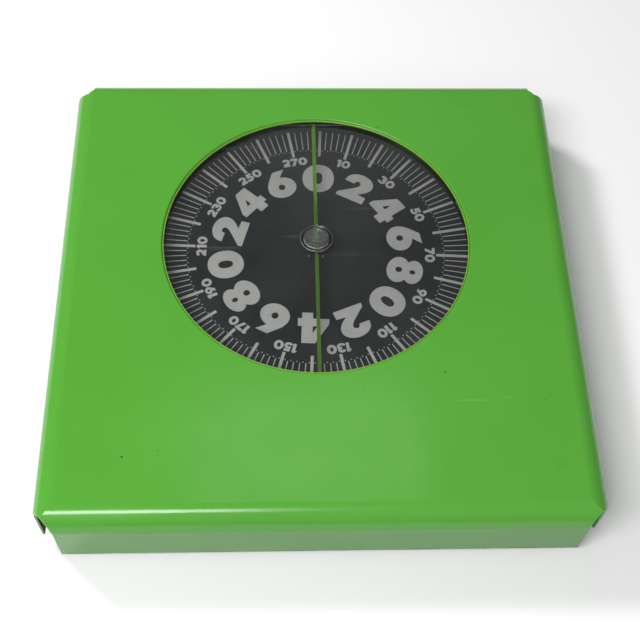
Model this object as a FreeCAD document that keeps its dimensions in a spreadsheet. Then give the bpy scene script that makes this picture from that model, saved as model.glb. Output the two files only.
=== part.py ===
import FreeCAD, Part
import math
import os
import re

import Sketcher

# Household platform scale with a turning dial under a clear window.
# Frame: millimetres, +Z up, origin on the floor under the middle of the platform,
# +X to the right of the person standing on it, +Y towards the dial.

os.makedirs("parts", exist_ok=True)
doc = FreeCAD.newDocument("PlatformScale")

DIMENSIONS = {
    # platform cover
    "plate_width": 280.0,
    "plate_depth": 280.0,
    "plate_top": 45.0,
    "plate_hem": 7.0,
    "cover_sheet": 1.2,
    "bend_radius": 11.0,
    "corner_cut": 10.4,
    "notch_bevel": 3.1,
    "window_radius": 84.4,
    "window_offset": 25.2,
    "lip_depth": 2.0,
    "lip_round": 0.9,
    # lens
    "lens_radius": 88.0,
    "lens_sheet": 2.0,
    "boss_radius": 9.1,
    "boss_cap_radius": 7.0,
    "boss_step": 0.5,
    "index_width": 2.0,
    "index_sheet": 0.3,
    "clip_length": 16.0,
    "clip_width": 12.0,
    "clip_lap": 4.0,
    "clip_play": 0.3,
    # dial train
    "dial_radius": 89.0,
    "dial_sheet": 0.8,
    "dial_top": 32.0,
    "dial_zero": 2.87,
    "hub_radius": 12.0,
    "hub_sheet": 1.5,
    "hub_neck_radius": 3.5,
    "hub_neck_height": 2.4,
    "hub_rivet_circle": 5.5,
    "hub_rivet_radius": 0.6,
    "hub_rivet_height": 0.3,
    "shaft_radius": 1.0,
    "shaft_bottom": 6.2,
    "cup_radius": 4.0,
    "cup_height": 5.0,
    "bridge_half": 16.0,
    "bridge_foot": 8.0,
    "bridge_depth": 14.0,
    "bridge_gap": 1.2,
    "running_play": 0.05,
    "gear_module": 0.4,
    "pinion_teeth": 10.0,
    "gear_width": 2.2,
    "rack_width": 1.6,
    "rack_back": 3.5,
    "guide_play": 0.12,
    "guide_width": 16.0,
    "guide_foot": 8.0,
    "guide_front": 44.0,
    "guide_rear": 80.0,
    "guide_crown": 1.8,
    "gear_level": 21.0,
    # base
    "base_width": 264.0,
    "base_depth": 264.0,
    "base_level": 4.0,
    "base_sheet": 1.0,
    "base_wall": 16.0,
    "base_corner": 14.0,
    "bead_width": 8.0,
    "bead_depth": 1.6,
    "bead_half": 92.0,
    "bead_inner": 34.0,
    "bead_outer": 66.0,
    "foot_radius": 10.0,
    "foot_across": 100.0,
    "foot_along": 90.0,
    "foot_taper": 1.5,
    "foot_neck_radius": 3.0,
    "foot_button": 1.5,
    "bracket_sheet": 1.2,
    # levers
    "fulcrum_front": 108.0,
    "fulcrum_back": 112.0,
    "fulcrum_along": 120.0,
    "fulcrum_level": 12.0,
    "stirrup_gap": 5.0,
    "stirrup_rise": 4.5,
    "stirrup_depth": 12.0,
    "pin_radius": 2.0,
    "sleeve_radius": 4.0,
    "lever_width": 6.0,
    "lever_height": 6.0,
    "lever_sheet": 1.5,
    "sleeve_overhang": 4.0,
    "join_level": 24.4,
    "nib_radius": 1.2,
    "nib_drop": 3.7,
    "load_level": 14.0,
    "load_play": 0.15,
    "load_pin_half": 9.0,
    "collar_radius": 3.2,
    "hanger_gap": 3.6,
    "hanger_ear": 9.0,
    "hanger_drop": 4.0,
    "hold_wire": 0.55,
    "hold_radius": 2.6,
    "hold_turns": 7.0,
    "stud_radius": 1.5,
    "stud_height": 3.0,
    "hold_across": 76.0,
    "hold_along": 104.0,
    "hold_play": 0.2,
    "support_depth": 10.0,
    # nose end and spring
    "plate_travel": 1.2,
    "nose_travel": 8.0,
    "nose_along": 125.0,
    "nose_across": 16.0,
    "nose_level": 20.75,
    "nose_plate_level": 16.0,
    "nose_plate_sheet": 1.5,
    "nose_plate_wing": 8.0,
    "nose_plate_depth": 9.0,
    "nose_rib_height": 4.5,
    "nose_tab_width": 8.0,
    "nose_tab_reach": 9.2,
    "nose_tab_length": 6.2,
    "spring_radius": 3.9,
    "spring_wire": 0.8,
    "spring_turns": 8.0,
    "spring_top": 34.0,
    "shelf_level": 36.0,
    "rail_along": 117.2,
    "rail_top": 30.0,
    "rail_half": 46.0,
    "rail_gap_half": 30.0,
    "rail_gap_top": 25.25,
    "cheek_half": 8.0,
    "shelf_front": 121.6,
    "shelf_back": 131.0,
    "wheel_radius": 8.5,
    "wheel_level": 38.2,
    "wheel_height": 3.0,
    "stem_radius": 1.8,
    "stem_proud": 0.6,
    "stem_tail": 3.0,
    "stem_play": 0.3,
    "stem_collar_radius": 3.2,
    "stem_collar_height": 1.6,
    # bell crank
    "crank_along": 106.5,
    "crank_level": 10.5,
    "crank_arm": 10.0,
    "crank_pin_radius": 1.5,
    "crank_tip_radius": 1.2,
    "crank_sheet": 2.0,
    "crank_boss_radius": 3.0,
    "crank_sleeve_left": 5.0,
    "crank_sleeve_length": 7.0,
    "crank_peg_rim": 0.6,
    "crank_peg_length": 6.5,
    "ear_left": 8.0,
    "ear_right": 10.2,
    "ear_depth": 7.0,
    "ear_foot": 0.8,
    "return_radius": 2.4,
    "return_wire": 0.35,
    "return_turns": 5.0,
    "return_gap_left": 0.6,
    "return_gap_right": 0.4,
    # rack's lug and the slot in it for the crank's peg
    "rack_tail": 2.6,
    "lug_inset": 0.5,
    "lug_sheet": 2.0,
    "lug_front": 5.0,
    "lug_depth": 7.6,
    "lug_crown": 3.6,
    "slot_front": 1.72,
    "slot_depth": 3.1,
    "slot_drop": 1.6,
    "slot_height": 4.6,
    # fasteners
    "rivet_radius": 2.2,
    "rivet_height": 0.8,
    "rail_rivet_half": 3.5,
    "rail_rivet_back": 6.5,
    "guide_rivet_half": 4.5,
    "guide_rivet_back": 5.0,
}

sheet = doc.addObject("Spreadsheet::Sheet", "Dims")
for row, (alias, number) in enumerate(DIMENSIONS.items(), start=1):
    sheet.set(f"A{row}", alias)
    sheet.set(f"B{row}", str(number))
    sheet.setAlias(f"B{row}", alias)
doc.recompute()

X_AXIS = FreeCAD.Vector(1, 0, 0)
Y_AXIS = FreeCAD.Vector(0, 1, 0)
Z_AXIS = FreeCAD.Vector(0, 0, 1)
TURNS = {
    "Z": "rotationz(0)",
    "X": "rotationy(90)",
    "Y": "rotationx(-90)",
}
SIDES = {"left": -1, "right": 1}
ENDS = {"front": -1, "back": 1}
CLIP_ANGLES = (15, 165, 200, 340)

TOUCH = 0.01

sub_parts = []


def bind(text):
    """Point every dimension's name in an expression at its cell in the sheet."""
    return re.sub(r"[a-z]+(?:_[a-z]+)+", lambda found: "Dims." + found.group(0), str(text))


def size(alias):
    """Read one driving dimension back from the sheet."""
    return float(sheet.get(alias))


def place(feature, corner, turn="rotationz(0)"):
    """Bind a feature's placement to a corner and a turn, both written as expressions."""
    x, y, z = (bind(part) for part in corner)
    feature.setExpression("Placement", f"placement(vector({x}; {y}; {z}); {bind(turn)})")
    return feature


def box(name, lengths, corner, turn="rotationz(0)"):
    block = doc.addObject("Part::Box", name)
    for prop, length in zip(("Length", "Width", "Height"), lengths):
        block.setExpression(prop, bind(length))
    return place(block, corner, turn)


def rod(name, radius, height, start, axis="Z"):
    bar = doc.addObject("Part::Cylinder", name)
    bar.setExpression("Radius", bind(radius))
    bar.setExpression("Height", bind(height))
    return place(bar, start, TURNS[axis])


def fuse(name, *features):
    joined = doc.addObject("Part::MultiFuse", name)
    joined.Shapes = list(features)
    joined.Refine = True
    return joined


def cut(name, base, *tools):
    tool = tools[0] if len(tools) == 1 else fuse(name + "_tools", *tools)
    remainder = doc.addObject("Part::Cut", name)
    remainder.Base = base
    remainder.Tool = tool
    return remainder


def gather(name, *features):
    """Keep identical pieces as separate solids of one object."""
    group = doc.addObject("Part::Compound", name)
    group.Links = list(features)
    return group


def sub_part(feature, label):
    """Name a finished piece and put it on the list that is written out."""
    feature.Label = label
    sub_parts.append(feature)
    return feature


def outline(body, role, points, holes=()):
    """Draw a closed outline and its round holes, every coordinate bound to the sheet."""
    sketch = body.newObject("Sketcher::SketchObject", body.Name + "_outline")
    plane = next(item for item in body.Origin.OriginFeatures if item.Role == role)
    sketch.AttachmentSupport = [(plane, "")]
    sketch.MapMode = "FlatFace"
    count = len(points)
    rough = [
        FreeCAD.Vector(10 * math.cos(2 * math.pi * i / count), 10 * math.sin(2 * math.pi * i / count), 0)
        for i in range(count)
    ]
    for i in range(count):
        sketch.addGeometry(Part.LineSegment(rough[i], rough[(i + 1) % count]), False)
    for i in range(count):
        sketch.addConstraint(Sketcher.Constraint("Coincident", i, 2, (i + 1) % count, 1))
    for i, (across, up) in enumerate(points):
        fix_point(sketch, i, 1, across, up, rough[i])
    for across, up, radius in holes:
        index = sketch.addGeometry(Part.Circle(FreeCAD.Vector(1, 1, 0), Z_AXIS, 1.0), False)
        fix_point(sketch, index, 3, across, up, FreeCAD.Vector(1, 1, 0))
        spot = sketch.addConstraint(Sketcher.Constraint("Radius", index, 1.0))
        sketch.setExpression(f"Constraints[{spot}]", bind(radius))
    return sketch


def fix_point(sketch, geometry, vertex, across, up, rough):
    for kind, text, value in (("DistanceX", across, rough.x), ("DistanceY", up, rough.y)):
        spot = sketch.addConstraint(Sketcher.Constraint(kind, -1, 1, geometry, vertex, value))
        sketch.setExpression(f"Constraints[{spot}]", bind(text))


def bent_plate(name, role, points, thickness, holes=()):
    """Pad an outline evenly to both sides of its plane."""
    body = doc.addObject("PartDesign::Body", name)
    sketch = outline(body, role, points, holes)
    pad = body.newObject("PartDesign::Pad", name + "_pad")
    pad.Profile = sketch
    pad.Midplane = True
    pad.setExpression("Length", bind(thickness))
    sketch.Visibility = False
    return body


def shape_feature(name, shape, spot=None, turn=None):
    """Hold a shape that no parametric feature makes, such as a coil or a toothed wheel."""
    feature = doc.addObject("Part::Feature", name)
    feature.Shape = shape
    feature.Placement = FreeCAD.Placement(spot or FreeCAD.Vector(), turn or FreeCAD.Rotation())
    return feature


# ---------------------------------------------------------------- platform cover


def build_cover():
    """Sheet steel platform: flat top and four bent-down flanges.

    The front corners are cut off at 45 degrees, the back corners have bevelled notches.
    """
    outer = rounded_block("cover_outer", "0", "plate_hem")
    inner = rounded_block("cover_inner", "cover_sheet", "0")
    corners = []
    for side, right in SIDES.items():
        corners.append(corner_wedge(f"corner_front_{side}", right, ENDS["front"]))
        corners += flange_trims(side, right)
        corners.append(back_notch(side, right))
    bent = cut("cover_bent", outer, inner, *corners)
    level = "plate_top - lip_depth"
    lip = rod("lip_outer", "window_radius + cover_sheet", "lip_depth", ("0", "window_offset", level))
    opening = rod("window_cut", "window_radius", "plate_top", ("0", "window_offset", "0"))
    lipped = cut("cover_with_window", fuse("cover_with_lip", bent, lip), opening)
    doc.recompute()
    rounded = doc.addObject("Part::Fillet", "cover_rounded")
    rounded.Base = lipped
    for index, edge in enumerate(lipped.Shape.Edges, start=1):
        if is_window_edge(edge):
            rounded.Edges = [(index, size("lip_round"), size("lip_round"))]
    lipped.Visibility = False
    return sub_part(rounded, "platform_cover")


def is_window_edge(edge):
    """The round edge where the top turns down into the window's lip."""
    if not isinstance(edge.Curve, Part.Circle):
        return False
    same_radius = abs(edge.Curve.Radius - size("window_radius")) < TOUCH
    return same_radius and abs(edge.Curve.Center.z - size("plate_top")) < TOUCH


def rounded_block(name, inset, bottom):
    """Block whose four upper edges are bends, mitred at the corners, inset from the outside."""
    radius = f"(bend_radius - {inset})"
    bend_level = "(plate_top - bend_radius)"
    prisms = []
    runs = (("Y", "plate_width", "plate_depth"), ("X", "plate_depth", "plate_width"))
    for axis, across, length in runs:
        half = f"({across} / 2 - {inset})"
        reach = f"({length} / 2 - {inset})"
        spans = (
            (half, bottom, bend_level),
            (f"({half} - {radius})", bend_level, f"(plate_top - {inset})"),
        )
        pieces = []
        for step, (wide, low, high) in enumerate(spans):
            width, depth = (wide, reach) if axis == "Y" else (reach, wide)
            lengths = (f"2 * {width}", f"2 * {depth}", f"{high} - {low}")
            pieces.append(box(f"{name}_{axis}_{step}", lengths, (f"-{width}", f"-{depth}", low)))
        for side, sign in SIDES.items():
            middle = f"{sign} * ({half} - {radius})"
            ends = (middle, f"-{reach}") if axis == "Y" else (f"-{reach}", middle)
            start = (*ends, bend_level)
            pieces.append(rod(f"{name}_{axis}_{side}", radius, f"2 * {reach}", start, axis))
        prisms.append(fuse(f"{name}_{axis}_prism", *pieces))
    common = doc.addObject("Part::MultiCommon", name)
    common.Shapes = prisms
    return common


def flange_trims(side, right):
    """End the flanges at a front corner square to their own faces, below the bends."""
    height = "plate_top - bend_radius"
    skirt = f"({right} * (plate_width / 2 - cover_sheet / 2) - cover_sheet / 2)"
    flange = f"({right} * (plate_width / 2 - corner_cut / 2) - corner_cut / 2)"
    front = "-plate_depth / 2"
    return [
        box(f"skirt_end_{side}", ("cover_sheet", "corner_cut", height), (skirt, front, "0")),
        box(f"flange_end_{side}", ("corner_cut", "cover_sheet", height), (flange, front, "0")),
    ]


def back_notch(side, right):
    """Square notch at a back corner, with a small bevel left standing at its inner corner."""
    square = box(
        f"notch_square_{side}",
        ("2 * corner_cut", "2 * corner_cut", "plate_top"),
        (f"{right} * plate_width / 2 - corner_cut", "plate_depth / 2 - corner_cut", "0"),
    )
    reach = "(2 * corner_cut - notch_bevel)"
    wedge = corner_wedge(f"notch_wedge_{side}", right, ENDS["back"], reach)
    notch = doc.addObject("Part::MultiCommon", f"corner_back_{side}")
    notch.Shapes = [square, wedge]
    return notch


def corner_wedge(name, right, back, reach="corner_cut"):
    """Upright block that takes one corner off along a 45 degree line, reach along each edge."""
    angle = math.degrees(math.atan2(back, right)) - 90
    corner = (
        f"{right} * (plate_width / 2 - {reach} / 2) - {reach} * cos({angle})",
        f"{back} * (plate_depth / 2 - {reach} / 2) - {reach} * sin({angle})",
        "0",
    )
    return box(name, (f"2 * {reach}", reach, "plate_top"), corner, f"rotationz({angle})")


def build_lens():
    """Clear disc under the window's lip, with the turned boss in its middle."""
    level = "plate_top - lip_depth - lens_sheet"
    lens = rod("lens_disc", "lens_radius", "lens_sheet", ("0", "window_offset", level))
    sub_part(lens, "dial_lens")
    foot = ("0", "window_offset", "plate_top - lip_depth")
    ring = rod("boss_ring", "boss_radius", "lip_depth - boss_step", foot)
    cap = rod("boss_cap", "boss_cap_radius", "lip_depth", foot)
    sub_part(fuse("boss", ring, cap), "lens_boss")
    strip = box(
        "index_strip",
        ("index_width", "2 * window_radius", "index_sheet"),
        (
            "-index_width / 2",
            "window_offset - window_radius",
            "plate_top - lip_depth - lens_sheet - index_sheet",
        ),
    )
    sub_part(strip, "index_line")


def build_lens_clips():
    """Four folded clips, spot welded under the cover, that carry the lens by its rim."""
    under = "plate_top - cover_sheet"
    bottom = "plate_top - lip_depth - lens_sheet"
    points = (
        ("lens_radius - clip_lap", bottom + " - bracket_sheet"),
        ("lens_radius + clip_play + bracket_sheet", bottom + " - bracket_sheet"),
        ("lens_radius + clip_play + bracket_sheet", under + " - bracket_sheet"),
        ("lens_radius + clip_length", under + " - bracket_sheet"),
        ("lens_radius + clip_length", under),
        ("lens_radius + clip_play", under),
        ("lens_radius + clip_play", bottom),
        ("lens_radius - clip_lap", bottom),
    )
    for number, angle in enumerate(CLIP_ANGLES, start=1):
        clip = bent_plate(f"clip_{number}", "XZ_Plane", points, "clip_width")
        place(clip, ("0", "window_offset", "0"), f"rotationz({angle})")
        sub_part(clip, f"lens_clip_{number}")


# ---------------------------------------------------------------- base


def build_base():
    """Shallow pressed tray with rounded corners and a hole for each foot's neck."""
    body = doc.addObject("PartDesign::Body", "pan")
    rim = "base_level + base_wall"
    add_tray_step(body, "PartDesign::Pad", "0", "base_wall", "base_level")
    add_tray_step(body, "PartDesign::Pocket", "base_sheet", "base_wall - base_sheet", rim)
    below = "base_level - base_sheet"
    holes = [
        rod(f"neck_hole_{end}_{side}", "foot_neck_radius", "base_level", (*spot, below))
        for end, side, spot in corner_spots("foot_across", "foot_along")
    ]
    outsides = []
    hollows = []
    for index, across in enumerate(("-bead_outer", "-bead_inner", "bead_inner", "bead_outer")):
        bottom = "base_level - bead_depth"
        outsides.append(bead(f"bead_{index}", across, "bead_width", bottom, "bead_depth"))
        hollows.append(
            bead(
                f"bead_{index}_hollow",
                across,
                "bead_width - 2 * base_sheet",
                "base_level - bead_depth + base_sheet",
                "bead_depth",
            )
        )
    stiffened = fuse("pan_with_beads", body, *outsides)
    sub_part(cut("pan_finished", stiffened, *holes, *hollows), "base_pan")


def bead(name, across, width, level, height):
    """Long round-ended stiffening bead pressed down into the tray's floor."""
    bar = box(
        name + "_run",
        (width, "2 * bead_half", height),
        (f"{across} - ({width}) / 2", "-bead_half", level),
    )
    ends = [
        rod(f"{name}_end_{end}", f"({width}) / 2", height, (across, f"{back} * bead_half", level))
        for end, back in ENDS.items()
    ]
    return fuse(name + "_shape", bar, *ends)


def corner_spots(across, along):
    """The four mirrored places of a sub-part, with the words that name them."""
    return [
        (end, side, (f"{right} * {across}", f"{back} * {along}"))
        for end, back in ENDS.items()
        for side, right in SIDES.items()
    ]


def add_tray_step(body, kind, inset, height, level):
    """Pad or pocket a rectangle with rounded corners, inset from the tray's outside."""
    sketch = body.newObject("Sketcher::SketchObject", "tray_" + kind.split("::")[1].lower())
    plane = next(item for item in body.Origin.OriginFeatures if item.Role == "XY_Plane")
    sketch.AttachmentSupport = [(plane, "")]
    sketch.MapMode = "FlatFace"
    sketch.setExpression("AttachmentOffset.Base.z", bind(level))
    half_x = f"(base_width / 2 - {inset})"
    half_y = f"(base_depth / 2 - {inset})"
    radius = f"(base_corner - {inset})"
    corners = ((1, 1, 0), (-1, 1, 90), (-1, -1, 180), (1, -1, 270))
    rough_x = size("base_width") / 2 - size("base_corner")
    rough_y = size("base_depth") / 2 - size("base_corner")
    rough_radius = size("base_corner")
    for right, back, start in corners:
        middle = FreeCAD.Vector(right * rough_x, back * rough_y, 0)
        circle = Part.Circle(middle, Z_AXIS, rough_radius)
        arc = Part.ArcOfCircle(circle, math.radians(start), math.radians(start + 90))
        index = sketch.addGeometry(arc, False)
        centre = (f"{right} * ({half_x} - {radius})", f"{back} * ({half_y} - {radius})")
        fix_point(sketch, index, 3, *centre, middle)
        spot = sketch.addConstraint(Sketcher.Constraint("Radius", index, rough_radius))
        sketch.setExpression(f"Constraints[{spot}]", bind(radius))
        first, second = ("DistanceY", "DistanceX") if start % 180 == 0 else ("DistanceX", "DistanceY")
        for rule, vertex in ((first, 1), (second, 2)):
            text, value = (centre[0], middle.x) if rule == "DistanceX" else (centre[1], middle.y)
            spot = sketch.addConstraint(Sketcher.Constraint(rule, -1, 1, index, vertex, value))
            sketch.setExpression(f"Constraints[{spot}]", bind(text))
    for index in range(4):
        following = (index + 1) % 4
        ends = [sketch.Geometry[index].EndPoint, sketch.Geometry[following].StartPoint]
        line = sketch.addGeometry(Part.LineSegment(*ends), False)
        sketch.addConstraint(Sketcher.Constraint("Coincident", line, 1, index, 2))
        sketch.addConstraint(Sketcher.Constraint("Coincident", line, 2, following, 1))
    step = body.newObject(kind, sketch.Name + "_step")
    step.Profile = sketch
    step.setExpression("Length", bind(height))
    sketch.Visibility = False
    body.Tip = step


def build_feet():
    """Rubber feet whose necks pass through the tray's floor to a button head."""
    for end, side, spot in corner_spots("foot_across", "foot_along"):
        name = f"foot_{end}_{side}"
        pad = doc.addObject("Part::Cone", name + "_pad")
        pad.setExpression("Radius1", bind("foot_radius - foot_taper"))
        pad.setExpression("Radius2", bind("foot_radius"))
        pad.setExpression("Height", bind("base_level"))
        place(pad, (*spot, "0"))
        neck = rod(name + "_neck", "foot_neck_radius", "1.5 * base_sheet", (*spot, "base_level"))
        button = doc.addObject("Part::Cone", name + "_button")
        button.setExpression("Radius1", bind("foot_neck_radius + foot_button"))
        button.setExpression("Radius2", bind("foot_neck_radius"))
        button.setExpression("Height", bind("2 * base_sheet"))
        place(button, (*spot, "base_level + base_sheet"))
        sub_part(fuse(name + "_rubber", pad, neck, button), name)


def build_fulcrums():
    """Four stirrups riveted in the tray's corners, with the pins the levers turn on."""
    floor = "base_level + base_sheet"
    half = "(lever_width / 2 + stirrup_gap + bracket_sheet)"
    points = (
        (f"-{half}", floor),
        (half, floor),
        (half, "fulcrum_level + stirrup_rise"),
        (f"{half} - bracket_sheet", "fulcrum_level + stirrup_rise"),
        (f"{half} - bracket_sheet", f"{floor} + bracket_sheet"),
        (f"bracket_sheet - {half}", f"{floor} + bracket_sheet"),
        (f"bracket_sheet - {half}", "fulcrum_level + stirrup_rise"),
        (f"-{half}", "fulcrum_level + stirrup_rise"),
    )
    pins = []
    for end, back in ENDS.items():
        for side, right in SIDES.items():
            name = f"fulcrum_{end}_{side}"
            stirrup = bent_plate(name + "_plate", "XZ_Plane", points, "stirrup_depth")
            across = f"{right} * fulcrum_{end}"
            place(stirrup, (across, f"{back} * fulcrum_along", "0"))
            start = (f"{across} - {half}", f"{back} * fulcrum_along", "fulcrum_level")
            hole = rod(name + "_hole", "pin_radius", f"2 * {half}", start, "X")
            pins.append(rod(name + "_pin", "pin_radius", f"2 * {half}", start, "X"))
            sub_part(cut(name + "_stirrup", stirrup, hole), name)
    sub_part(gather("all_fulcrum_pins", *pins), "fulcrum_pins")


# ---------------------------------------------------------------- levers


# from a long lever's fulcrum to its nose, from any fulcrum to its load pin, and how far out
# the short levers press on the long ones
LONG_ARM = "(nose_along + fulcrum_along)"
LOAD_ARM = f"(plate_travel * {LONG_ARM} / nose_travel)"
JOIN_ACROSS = f"(fulcrum_front - (fulcrum_front - nose_across) * fulcrum_along / {LONG_ARM})"


def lever_beam(name, start, finish):
    """Straight channel, open below, from one point to another (its middle line)."""
    run = tuple(f"(({b}) - ({a}))" for a, b in zip(start, finish))
    plan = f"sqrt({run[0]} ^ 2 + {run[1]} ^ 2)"
    length = f"sqrt({run[0]} ^ 2 + {run[1]} ^ 2 + {run[2]} ^ 2)"
    turn = f"rotationz(-atan2({run[0]}; {run[1]})) * rotationx(atan2({run[2]}; {plan}))"
    outer = box(
        name + "_outer",
        ("lever_width", length, "lever_height"),
        ("-lever_width / 2", "0", "-lever_height / 2"),
    )
    inner = box(
        name + "_inner",
        ("lever_width - 2 * lever_sheet", length, "lever_height - lever_sheet"),
        ("lever_sheet - lever_width / 2", "0", "-lever_height / 2"),
    )
    beam = cut(name + "_channel", outer, inner)
    return place(beam, start, turn)


def build_levers():
    """Two long levers reach the nose plate; two short ones press on their middles."""
    for side, right in SIDES.items():
        for end, back in ENDS.items():
            kind = "long" if end == "front" else "short"
            name = f"{kind}_lever_{side}"
            pivot = (f"{right} * fulcrum_{end}", f"{back} * fulcrum_along", "fulcrum_level")
            if kind == "long":
                tip = (f"{right} * nose_across", "nose_along + 2", "nose_level")
            else:
                tip = (f"{right} * {JOIN_ACROSS}", "-lever_width / 2", "join_level")
            beam = lever_beam(name, pivot, tip)
            sleeve_start = (f"{pivot[0]} - lever_width / 2 - sleeve_overhang", pivot[1], pivot[2])
            sleeve_length = "lever_width + 2 * sleeve_overhang"
            sleeve = rod(name + "_sleeve", "sleeve_radius", sleeve_length, sleeve_start, "X")
            bore = rod(name + "_bore", "pin_radius + running_play", sleeve_length, sleeve_start, "X")
            across = load_across(end, right)
            along = f"({back} * (fulcrum_along - {LOAD_ARM}))"
            pin_start = (f"{across} - load_pin_half", along, "load_level")
            pin_hole = rod(name + "_load_hole", "pin_radius", "2 * load_pin_half", pin_start, "X")
            pieces = [beam, sleeve, load_collar(name, across, along)]
            if kind == "short":
                nib_start = (f"{right} * {JOIN_ACROSS} - lever_width / 2", "0", "join_level - nib_drop")
                pieces.append(rod(name + "_nib", "nib_radius", "lever_width", nib_start, "X"))
            whole = fuse(name + "_pieces", *pieces)
            sub_part(cut(name + "_bored", whole, bore, pin_hole), name)
            pin = rod(name + "_load_pin", "pin_radius", "2 * load_pin_half", pin_start, "X")
            sub_part(pin, f"load_pin_{end}_{side}")


def load_across(end, right):
    """How far out the lever's middle line is where the platform bears on it."""
    if end == "front":
        slope = f"((fulcrum_front - nose_across) / {LONG_ARM})"
        return f"({right} * (fulcrum_front - {slope} * {LOAD_ARM}))"
    slope = f"((fulcrum_back - {JOIN_ACROSS}) / fulcrum_along)"
    return f"({right} * (fulcrum_back - {slope} * {LOAD_ARM}))"


def load_collar(name, across, along):
    """Thickened eye that holds the load pin in the lever."""
    start = (f"{across} - lever_width / 2", along, "load_level")
    return rod(name + "_collar", "collar_radius", "lever_width", start, "X")


def build_supports():
    """Four hangers under the cover; each straddles a lever and sits on its load pin."""
    under = "plate_top - cover_sheet"
    half = "(lever_width / 2 + hanger_gap)"
    points = (
        (f"{half} + bracket_sheet", "load_level - hanger_drop"),
        (f"{half} + bracket_sheet", f"{under} - bracket_sheet"),
        (f"{half} + hanger_ear", f"{under} - bracket_sheet"),
        (f"{half} + hanger_ear", under),
        (f"-{half} - hanger_ear", under),
        (f"-{half} - hanger_ear", f"{under} - bracket_sheet"),
        (f"-{half} - bracket_sheet", f"{under} - bracket_sheet"),
        (f"-{half} - bracket_sheet", "load_level - hanger_drop"),
        (f"-{half}", "load_level - hanger_drop"),
        (f"-{half}", f"{under} - bracket_sheet"),
        (half, f"{under} - bracket_sheet"),
        (half, "load_level - hanger_drop"),
    )
    for end, back in ENDS.items():
        for side, right in SIDES.items():
            name = f"support_{end}_{side}"
            along = f"({back} * (fulcrum_along - {LOAD_ARM}))"
            across = load_across(end, right)
            hanger = bent_plate(name + "_plate", "XZ_Plane", points, "support_depth")
            place(hanger, (across, along, "0"))
            slot_half = "(pin_radius + load_play)"
            reach = f"({half} + hanger_ear)"
            slot_start = (f"{across} - {reach}", along, "load_level + load_play")
            crown = rod(name + "_crown", slot_half, f"2 * {reach}", slot_start, "X")
            slot = box(
                name + "_slot",
                (f"2 * {reach}", f"2 * {slot_half}", "load_level"),
                (f"{across} - {reach}", f"{along} - {slot_half}", "load_play"),
            )
            sub_part(cut(name + "_hanger", hanger, crown, slot), name)


def build_hold_downs():
    """Four light springs that keep the cover on the base, each between two studs."""
    floor = "base_level + base_sheet"
    under = "plate_top - cover_sheet"
    bottom = size("base_level") + size("base_sheet") + size("hold_play")
    top = size("plate_top") - size("cover_sheet") - size("hold_play")
    wire = size("hold_wire")
    lower = []
    upper = []
    for end, side, spot in corner_spots("hold_across", "hold_along"):
        name = f"hold_{end}_{side}"
        hung = (*spot, f"{under} - stud_height")
        lower.append(rod(name + "_lower", "stud_radius", "stud_height", (*spot, floor)))
        upper.append(rod(name + "_upper", "stud_radius", "stud_height", hung))
        wound = coil(size("hold_radius"), wire, size("hold_turns"), top - bottom)
        across = SIDES[side] * size("hold_across")
        along = ENDS[end] * size("hold_along")
        foot = FreeCAD.Vector(across, along, bottom + wire)
        spring = shape_feature(name + "_coil", wound, foot)
        sub_part(spring, f"hold_down_spring_{end}_{side}")
    sub_part(gather("lower_studs", *lower), "hold_down_studs_base")
    sub_part(gather("upper_studs", *upper), "hold_down_studs_cover")


# ---------------------------------------------------------------- nose end


def build_nose_plate():
    """Stirrup plate that both long levers press on and the main spring holds up."""
    level = "nose_plate_level"
    half = "(nose_across + nose_plate_wing)"
    front = "(nose_along - 4 * nose_plate_depth / 9)"
    plate = box(
        "nose_slab",
        (f"2 * {half}", "nose_plate_depth", "nose_plate_sheet"),
        (f"-{half}", front, level),
    )
    tab = box(
        "nose_tab",
        ("nose_tab_width", "nose_tab_length", "nose_plate_sheet"),
        ("-nose_tab_width / 2", "nose_along - nose_tab_reach", level),
    )
    ribs = [
        box(
            f"nose_rib_{side}",
            ("nose_plate_sheet", "nose_plate_depth", "nose_rib_height"),
            (f"{right} * ({half} - nose_plate_sheet / 2) - nose_plate_sheet / 2", front, level),
        )
        for side, right in SIDES.items()
    ]
    below = ("0", "nose_along", f"{level} - nose_plate_sheet")
    eye = rod("nose_eye", "spring_wire", "3 * nose_plate_sheet", below)
    sub_part(cut("nose_stirrup", fuse("nose_pieces", plate, tab, *ribs), eye), "nose_plate")


def coil(radius, wire, turns, height):
    """Round wire wound on a helix about +Z, ends cut square; its first turn starts at zero."""
    rise = height - 2 * wire
    helix = Part.makeHelix(rise / turns, rise, radius)
    section = Part.Wire([Part.Edge(Part.Circle(FreeCAD.Vector(radius, 0, 0), Y_AXIS, wire))])
    return Part.Wire(helix).makePipeShell([section], True, True)


def build_main_spring():
    """Extension spring between the nose plate and the zero-setting stem."""
    wire = size("spring_wire")
    bottom = size("nose_plate_level") + size("nose_plate_sheet") + 2 * size("running_play")
    shape = coil(size("spring_radius"), wire, size("spring_turns"), size("spring_top") - bottom)
    foot = FreeCAD.Vector(0, size("nose_along"), bottom + wire)
    sub_part(shape_feature("spring_coil", shape, foot), "main_spring")


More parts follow.
